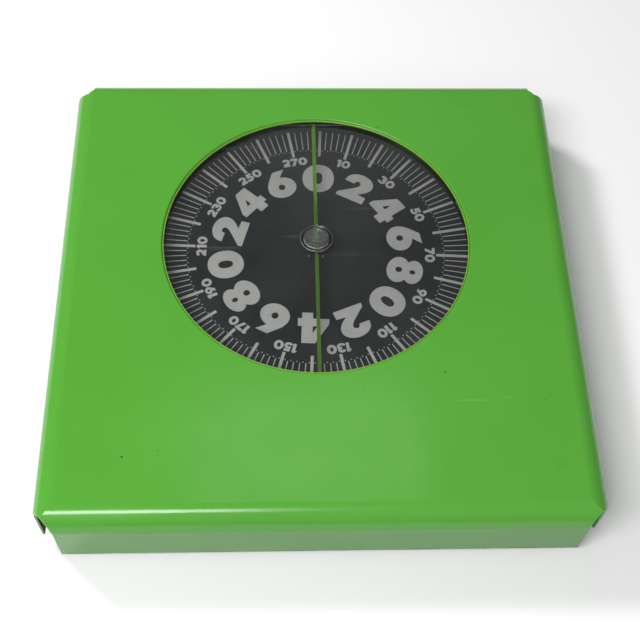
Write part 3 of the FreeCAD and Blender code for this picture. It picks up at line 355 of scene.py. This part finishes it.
# painted highlight: the rail's rolled edge gets a near-white finish so it shows as a bright line
HEM = metal("hem_painted_bright", (0.90, 0.90, 0.89), (0.97, 0.97, 0.96), 0.22, 0.4, metallic=0.3)
SPRING = metal(
    "spring_wire_steel", (0.26, 0.26, 0.26), (0.42, 0.41, 0.40), 0.22, 0.4, (14.0, 14.0, 1.0)
)
BRASS = metal("turned_brass", (0.48, 0.33, 0.12), (0.66, 0.48, 0.2), 0.22, 0.42)
RUBBER = rubber()
KNOB = moulded("black_moulding", (0.016, 0.016, 0.017), (0.03, 0.03, 0.031), 0.38, 0.55)
INDEX = moulded("index_green", (0.155, 0.36, 0.032), (0.18, 0.40, 0.042), 0.35, 0.5)
LENS = clear_plastic("clear_lens", (0.975, 0.98, 0.975), (0.55, 0.57, 0.56), lens_haze, 0.03)
BOSS = clear_plastic("frosted_boss", (0.93, 0.94, 0.93), (0.62, 0.64, 0.61), boss_haze, 0.08)

NODE_FINISH = {
    "platform_cover": ENAMEL,
    "base_pan": TRAY_ENAMEL,
    "dial_disc": BLACK,
    "dial_lens": LENS,
    "index_line": INDEX,
    "spring_bridge": BARE,
    "zero_wheel": KNOB,
    "main_spring": SPRING,
    "crank_spring": SPRING,
    "pinion": BRASS,
    "dial_hub": BRASS,
    "shaft_cup": BRASS,
}


def finish_nodes():
    """Give every CAD node its material."""
    for name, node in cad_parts.items():
        material = NODE_FINISH.get(name, ZINC)
        if name.startswith("foot_"):
            material = RUBBER
        if name.startswith("hold_down_spring_"):
            material = SPRING
        node.data.materials.clear()
        node.data.materials.append(material)


# ---------------------------------------------------------------- mesh helpers


def mesh_piece(name, make, material, body):
    """A mesh object filled by make(bm), riding on a CAD body."""
    bm = bmesh.new()
    make(bm)
    bmesh.ops.recalc_face_normals(bm, faces=bm.faces)
    mesh = bpy.data.meshes.new(name)
    bm.to_mesh(mesh)
    bm.free()
    piece = bpy.data.objects.new(name, mesh)
    bpy.context.collection.objects.link(piece)
    piece.data.materials.append(material)
    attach(piece, body)
    return piece


def smooth(piece):
    for polygon in piece.data.polygons:
        polygon.use_smooth = True


def ellipse(cx, cy, rx, ry, start=0.0, end=360.0, steps=40, power=1.0):
    """Points along an ellipse's arc, in degrees anticlockwise; power below 1 squares it."""
    points = []
    for index in range(steps + 1):
        angle = math.radians(start + (end - start) * index / steps)
        c, s = math.cos(angle), math.sin(angle)
        points.append(
            (
                cx + rx * math.copysign(abs(c) ** power, c),
                cy + ry * math.copysign(abs(s) ** power, s),
            )
        )
    return points


def closed_ellipse(*args, **kwargs):
    return ellipse(*args, **kwargs)[:-1]


def curve_through(start, control, end, steps=12):
    """A quadratic curve's points, without its last one."""
    return [
        tuple(
            (1 - t) ** 2 * a + 2 * t * (1 - t) * b + t ** 2 * c
            for a, b, c in zip(start, control, end)
        )
        for t in (index / steps for index in range(steps))
    ]


def ribbon(points, width):
    """Outline of a stroke of even width along a path."""
    left, right = [], []
    for index, point in enumerate(points):
        before = Vector(points[max(index - 1, 0)])
        after = Vector(points[min(index + 1, len(points) - 1)])
        run = (after - before).normalized()
        side = Vector((-run.y, run.x)) * width / 2
        left.append(tuple(Vector(point) + side))
        right.append(tuple(Vector(point) - side))
    return left + right[::-1]


def add_plate(bm, loops, place, thickness):
    """A flat plate with holes: the first loop is its outside, the others are its holes."""
    flat = [[Vector((x, y, 0.0)) for x, y in loop] for loop in loops]
    triangles = tessellate_polygon(flat)
    ordered = [point for loop in flat for point in loop]
    bottom = [bm.verts.new(place @ point) for point in ordered]
    top = [bm.verts.new(place @ (point + Vector((0.0, 0.0, thickness)))) for point in ordered]
    for a, b, c in triangles:
        bm.faces.new((top[a], top[b], top[c]))
        bm.faces.new((bottom[a], bottom[c], bottom[b]))
    start = 0
    for loop in flat:
        count = len(loop)
        for index in range(count):
            a, b = start + index, start + (index + 1) % count
            bm.faces.new((bottom[a], bottom[b], top[b], top[a]))
        start += count


# ---------------------------------------------------------------- dial print

# All in millimetres. Places are distances outward from the dial's centre.
INK_THICKNESS = 0.06
INK_SUNK = 0.01  # depth of the ink's underside in the disc
LAYER_STEP = 0.01  # keeps the crossing strokes of a small figure apart
LARGE_MIDDLE = 50.0
SMALL_FOOT = 60.9
BOLD_TICK = (67.2, 86.3, 1.65)  # inner end, outer end, width
FINE_TICK = (72.0, 85.6, 0.5)
DOT_PLACE = 71.4
DOT_RADIUS = 0.32

# Large figures, in millimetres about their own middle.
LARGE = {
    "0": [
        closed_ellipse(-0.15, 0.85, 9.1, 10.0, steps=64, power=0.94),
        closed_ellipse(-0.15, 0.9, 2.45, 4.05, steps=40, power=0.9),
    ],
    "2": [
        [(-8.3, -9.3), (8.3, -9.3), (8.3, -4.4), (2.9, -4.0)]
        + curve_through((3.4, -3.6), (8.6, -0.2), (8.8, 3.6))
        + ellipse(0.5, 3.9, 8.3, 6.1, 0, 172, 30)
        + [(-8.1, 2.5), (-2.1, 2.4)]
        + ellipse(-0.2, 2.9, 1.8, 1.7, 150, 0, 12)
        + curve_through((1.6, 2.6), (1.1, 0.9), (-1.2, -1.0))
        + [(-8.3, -7.0)]
    ],
    "4": [
        [
            (0.3, -9.3),
            (6.2, -9.3),
            (6.2, -5.7),
            (8.4, -5.7),
            (8.4, -0.9),
            (6.2, -0.9),
            (6.2, 9.6),
            (-1.2, 9.6),
            (-8.5, -2.6),
            (-8.5, -5.7),
            (0.3, -5.7),
        ],
        [(0.3, 3.5), (0.3, -0.9), (-2.2, -0.9)],
    ],
    "6": [
        ellipse(0.1, -2.2, 8.25, 7.2, 78, -180, 44)
        + curve_through((-8.15, -2.0), (-7.8, 1.6), (-5.4, 4.6))
        + [(-1.4, 9.8), (5.7, 9.8), (1.3, 4.7)],
        closed_ellipse(0.0, -1.95, 1.9, 2.0, steps=28),
    ],
    "8": [
        ellipse(-0.2, 5.35, 7.8, 5.4, -42, 222, 36) + ellipse(0.0, -3.0, 8.45, 6.35, 132, 408, 40),
        closed_ellipse(-0.1, 5.0, 1.4, 1.7, steps=24),
        closed_ellipse(-0.1, -2.7, 1.75, 1.9, steps=24),
    ],
}

# Small figures: millimetres from their own lower left corner, 5.5 mm tall.
STROKE = 1.55
TALL = 5.5


def small_figures():
    """Outlines and widths of the small figures, mostly as strokes of even width."""
    half = STROKE / 2
    ring = [
        closed_ellipse(2.6, TALL / 2, 2.6, TALL / 2 + 0.1, steps=36),
        closed_ellipse(2.6, TALL / 2, 0.95, 1.35, steps=24),
    ]
    bowl_two = ellipse(2.2, TALL - 2.0, 1.45, 1.3, 170, -38, 16)
    return {
        "0": ([ring], 5.2),
        "1": (
            [
                [
                    [
                        (1.1, 0),
                        (2.85, 0),
                        (2.85, TALL),
                        (1.1, TALL),
                        (0.05, TALL - 1.45),
                        (1.1, TALL - 1.45),
                    ]
                ]
            ],
            2.9,
        ),
        "2": (
            [
                [ribbon(bowl_two + [(0.9, half)], STROKE)],
                [[(0.15, 0), (4.3, 0), (4.3, STROKE), (0.9, STROKE)]],
            ],
            4.5,
        ),
        "3": (
            [
                [ribbon(ellipse(2.1, TALL - 1.75, 1.55, 1.05, 165, -95, 16), STROKE * 0.92)],
                [ribbon(ellipse(2.1, 1.75, 1.8, 1.2, 95, -165, 16), STROKE * 0.92)],
            ],
            4.6,
        ),
        "5": (
            [
                [[(0.9, TALL), (4.0, TALL), (4.0, TALL - STROKE), (0.9, TALL - STROKE)]],
                [[(0.9, TALL), (2.3, TALL), (2.0, 2.6), (0.5, 2.2)]],
                [ribbon(ellipse(1.9, 1.85, 1.65, 1.25, 118, -160, 18), STROKE * 0.95)],
            ],
            4.3,
        ),
        "7": (
            [
                [
                    [
                        (0.1, TALL),
                        (4.3, TALL),
                        (4.3, TALL - STROKE * 0.8),
                        (3.9, TALL - STROKE),
                        (0.1, TALL - STROKE),
                    ]
                ],
                [[(2.6, TALL - 1.0), (4.3, TALL - 0.9), (2.3, 0), (0.5, 0)]],
            ],
            4.3,
        ),
        "9": (
            [
                [
                    closed_ellipse(2.3, TALL - 1.95, 2.25, 2.05, steps=32),
                    closed_ellipse(2.3, TALL - 1.95, 0.75, 0.7, steps=20),
                ],
                [[(2.2, 2.2), (4.5, 3.1), (2.7, 0), (0.8, 0)]],
            ],
            4.7,
        ),
    }


def dial_place(turn, radius):
    """Frame of a mark on the dial: its own +Y points outward from the dial's centre."""
    spot = Matrix.Translation((DIAL_X, DIAL_Y, DIAL_TOP - INK_SUNK * MM))
    turned = Matrix.Rotation(DIAL_REST_TURN - turn, 4, "Z")
    return spot @ turned @ Matrix.Translation((0, radius * MM, 0)) @ Matrix.Scale(MM, 4)


def turn_of(pounds):
    return 2 * math.pi * pounds / CAPACITY


def add_bar(bm, pounds, inner, outer, width):
    loop = [(-width / 2, inner), (width / 2, inner), (width / 2, outer), (-width / 2, outer)]
    add_plate(bm, [loop], dial_place(turn_of(pounds), 0.0), INK_THICKNESS)


def bold_ticks(bm):
    for pounds in range(0, CAPACITY, 10):
        add_bar(bm, pounds, *BOLD_TICK)


def fine_ticks(bm):
    for pounds in range(0, CAPACITY, 2):
        if pounds % 10:
            add_bar(bm, pounds, *FINE_TICK)


def pound_dots(bm):
    dot = closed_ellipse(0.0, DOT_PLACE, DOT_RADIUS, DOT_RADIUS, steps=12)
    for pounds in range(1, CAPACITY, 2):
        add_plate(bm, [dot], dial_place(turn_of(pounds), 0.0), INK_THICKNESS)


def large_numerals(bm):
    for pounds in range(0, CAPACITY, 20):
        loops = LARGE[str(pounds // 10 % 10)]
        add_plate(bm, loops, dial_place(turn_of(pounds), LARGE_MIDDLE), INK_THICKNESS)


def small_numerals(bm):
    figures = small_figures()
    gap = 0.3
    for pounds in range(10, CAPACITY, 20):
        text = str(pounds)
        width = sum(figures[c][1] for c in text) + gap * (len(text) - 1)
        left = -width / 2
        for character in text:
            plates, advance = figures[character]
            for layer, loops in enumerate(plates):
                shifted = [[(x + left, y) for x, y in loop] for loop in loops]
                raised = INK_THICKNESS + LAYER_STEP * layer
                add_plate(bm, shifted, dial_place(turn_of(pounds), SMALL_FOOT), raised)
            left += advance + gap


def build_dial_print():
    for name, make in (
        ("dial_bold_ticks", bold_ticks),
        ("dial_fine_ticks", fine_ticks),
        ("dial_pound_dots", pound_dots),
        ("dial_large_numerals", large_numerals),
        ("dial_small_numerals", small_numerals),
    ):
        mesh_piece(name, make, INK, "dial")


# ---------------------------------------------------------------- lens boss


def lathe(bm, profile, cx, cy, steps=96):
    """Turn (radius, height) points about a vertical axis; the ends meet the axis or each other."""
    rings = []
    for radius, height in profile:
        if radius < 1e-9:
            rings.append([bm.verts.new((cx, cy, height))])
            continue
        rings.append(
            [
                bm.verts.new(
                    (
                        cx + radius * math.cos(2 * math.pi * i / steps),
                        cy + radius * math.sin(2 * math.pi * i / steps),
                        height,
                    )
                )
                for i in range(steps)
            ]
        )
    for lower, upper in zip(rings, rings[1:]):
        for i in range(steps):
            j = (i + 1) % steps
            corners = [lower[i % len(lower)], lower[j % len(lower)]]
            corners += [upper[j % len(upper)], upper[i % len(upper)]]
            bm.faces.new(list(dict.fromkeys(corners)))


def boss_shape(bm):
    """Raised ring, a groove, and a cap with fine turned rings and a dimple."""
    base = LENS_TOP / MM
    top = boss_high.z / MM
    rim = BOSS_RADIUS / MM
    profile = [
        (0.0, base),
        (rim, base),
        (rim, top - 0.7),
        (rim - 0.25, top - 0.35),
        (rim - 0.7, top - 0.3),
        (rim - 0.95, top - 0.6),
        (rim - 1.9, top - 1.3),
        (7.05, top - 1.3),
        (6.95, top - 0.3),
        (6.7, top - 0.02),
    ]
    for index in range(7):
        radius = 6.2 - 0.55 * index
        profile += [(radius, top - 0.02), (radius - 0.15, top - 0.16), (radius - 0.3, top - 0.02)]
    profile += [(2.2, top - 0.04), (1.4, top - 0.35), (0.0, top - 0.45)]
    lathe(bm, [(r * MM, z * MM) for r, z in profile], DIAL_X, DIAL_Y)


def window_bead(bm):
    """Olive bead of the lens that shows all round inside the window's lip."""
    inner, outer = 83.5 * MM, 84.2 * MM
    base = LENS_TOP
    top = LENS_TOP + 1.3 * MM
    soft = 0.18 * MM
    profile = [
        (inner, base),
        (outer, base),
        (outer, top - soft),
        (outer - soft, top),
        (inner + soft, top),
        (inner, top - soft),
        (inner, base),
    ]
    lathe(bm, profile, DIAL_X, DIAL_Y, 256)
    bmesh.ops.remove_doubles(bm, verts=bm.verts, dist=0.001 * MM)


def build_bead():
    smooth(mesh_piece("lens_bead", window_bead, INDEX, "platform"))


def rail_hem(bm):
    """Rolled upper edge of the bare rail, a thin rod closed at both ends; its near-white finish
    paints a highlight line.
    """
    rail_low, rail_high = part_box("spring_bridge")
    radius = 0.6 * MM
    sunk = 0.2 * MM
    middle = Vector(((rail_low.x + rail_high.x) / 2, rail_low.y + radius, RAIL_TOP - sunk))
    bmesh.ops.create_cone(
        bm,
        cap_ends=True,
        segments=24,
        radius1=radius,
        radius2=radius,
        depth=rail_high.x - rail_low.x,
        matrix=Matrix.Translation(middle) @ Matrix.Rotation(math.pi / 2, 4, "Y"),
    )


def build_hem():
    mesh_piece("rail_hem", rail_hem, HEM, "base")


def build_boss():
    piece = mesh_piece("turned_boss", boss_shape, BOSS, "platform")
    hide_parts("lens_boss")
    smooth(piece)


# ---------------------------------------------------------------- camera, light and floor

CAMERA_LENS = 63.77
CAMERA_ANGLES = (4.008, 59.06, 3.116)  # yaw, downward pitch and roll, in degrees
CAMERA_SPOT = (-0.0207, -0.3326, 0.5549)

SKY_BEHIND = 0.2
SKY_IN_FRONT = 0.4
SOFTBOX_RADIANCE = 15.0
PANEL_RADIANCE = 1.1
STUDIO_HEIGHT = 1.1
KEY_POWER = 14.0
FILL_POWER = 1.5


def build_camera():
    """Camera above the front edge, looking down and a little to the right."""
    data = bpy.data.cameras.new("camera")
    data.sensor_width = 36.0
    data.lens = CAMERA_LENS
    data.clip_start = 0.01
    data.clip_end = 20.0
    camera = bpy.data.objects.new("camera", data)
    bpy.context.collection.objects.link(camera)
    yaw, pitch, roll = (math.radians(angle) for angle in CAMERA_ANGLES)
    flat = math.cos(pitch)
    forward = Vector((math.sin(yaw) * flat, math.cos(yaw) * flat, -math.sin(pitch)))
    level = Vector((math.cos(yaw), -math.sin(yaw), 0.0))
    raised = level.cross(forward)
    right = math.cos(roll) * level + math.sin(roll) * raised
    up = -math.sin(roll) * level + math.cos(roll) * raised
    turn = Matrix((right, up, -forward)).transposed()
    camera.matrix_world = Matrix.Translation(CAMERA_SPOT) @ turn.to_4x4()
    bpy.context.scene.camera = camera


def area_light(name, spot, aim, width, height, power):
    data = bpy.data.lights.new(name, "AREA")
    data.shape = "RECTANGLE"
    data.size = width
    data.size_y = height
    data.energy = power
    lamp = bpy.data.objects.new(name, data)
    bpy.context.collection.objects.link(lamp)
    lamp.location = spot
    run = Vector(aim) - Vector(spot)
    lamp.rotation_euler = run.to_track_quat("-Z", "Y").to_euler()
    return lamp


def build_world():
    """Dim sky behind the object, brighter in front of it."""
    world = bpy.data.worlds.new("studio")
    world.use_nodes = True
    nodes, links = world.node_tree.nodes, world.node_tree.links
    direction = nodes.new("ShaderNodeTexCoord").outputs["Generated"]
    split = nodes.new("ShaderNodeSeparateXYZ")
    links.new(direction, split.inputs["Vector"])
    fade = nodes.new("ShaderNodeMapRange")
    fade.interpolation_type = "SMOOTHSTEP"
    fade.inputs["From Min"].default_value = 0.25
    fade.inputs["From Max"].default_value = -0.35
    fade.inputs["To Min"].default_value = SKY_BEHIND
    fade.inputs["To Max"].default_value = SKY_IN_FRONT
    links.new(split.outputs["Y"], fade.inputs["Value"])
    background = nodes["Background"]
    background.inputs["Color"].default_value = (1.0, 1.0, 1.0, 1.0)
    links.new(fade.outputs["Result"], background.inputs["Strength"])
    bpy.context.scene.world = world


def build_softbox():
    """Long overhead softbox, left of the middle, whose right-hand end fades out in steps."""
    front, back = -0.72, -0.40
    # left end, right end, share of the radiance
    steps = ((-0.95, -0.17, 1.0), (-0.17, -0.06, 0.55), (-0.06, 0.02, 0.15))
    for index, (left, right, share) in enumerate(steps):
        width = right - left
        spot = ((left + right) / 2, (front + back) / 2, STUDIO_HEIGHT)
        power = SOFTBOX_RADIANCE * share * math.pi * width * (back - front)
        area_light(f"softbox_{index}", spot, (spot[0], spot[1], 0.0), width, back - front, power)


def build_panel():
    """Small dim panel at the back; its soft reflection lies on the front half of the platform."""
    width, depth = 0.34, 0.2
    spot = (0.02, 0.385, STUDIO_HEIGHT)
    power = PANEL_RADIANCE * math.pi * width * depth
    area_light("panel", spot, (spot[0], spot[1], 0.0), width, depth, power)


def build_key():
    """Lights for shade only: one behind on the left throws the lip's shadow on the dial."""
    aim = (0.0, 0.0, 0.03)
    key = area_light("key", (-0.95, 0.75, 1.15), aim, 0.3, 0.3, KEY_POWER)
    fill = area_light("fill", (-0.3, -0.9, 0.95), aim, 0.4, 0.4, FILL_POWER)
    for lamp in (key, fill):
        lamp.visible_glossy = False


def build_floor():
    bm = bmesh.new()
    bmesh.ops.create_grid(bm, x_segments=1, y_segments=1, size=4.0)
    mesh = bpy.data.meshes.new("floor")
    bm.to_mesh(mesh)
    bm.free()
    floor = bpy.data.objects.new("floor", mesh)
    bpy.context.collection.objects.link(floor)
    paint = Paint("floor_white")
    cloud = paint.band(paint.noise(3.0), 0.3, 0.7)
    paint.colour(paint.mix(cloud, (0.90, 0.90, 0.90), (0.92, 0.92, 0.92)))
    paint.set(Roughness=0.9, Specular_IOR_Level=0.1)
    floor.data.materials.append(paint.material)


def build_studio():
    scene = bpy.context.scene
    scene.view_settings.view_transform = "Standard"
    scene.view_settings.look = "None"
    build_world()
    build_softbox()
    build_panel()
    build_key()
    build_floor()


finish_nodes()
build_dial_print()
build_bead()
build_hem()
build_boss()
build_camera()
build_studio()
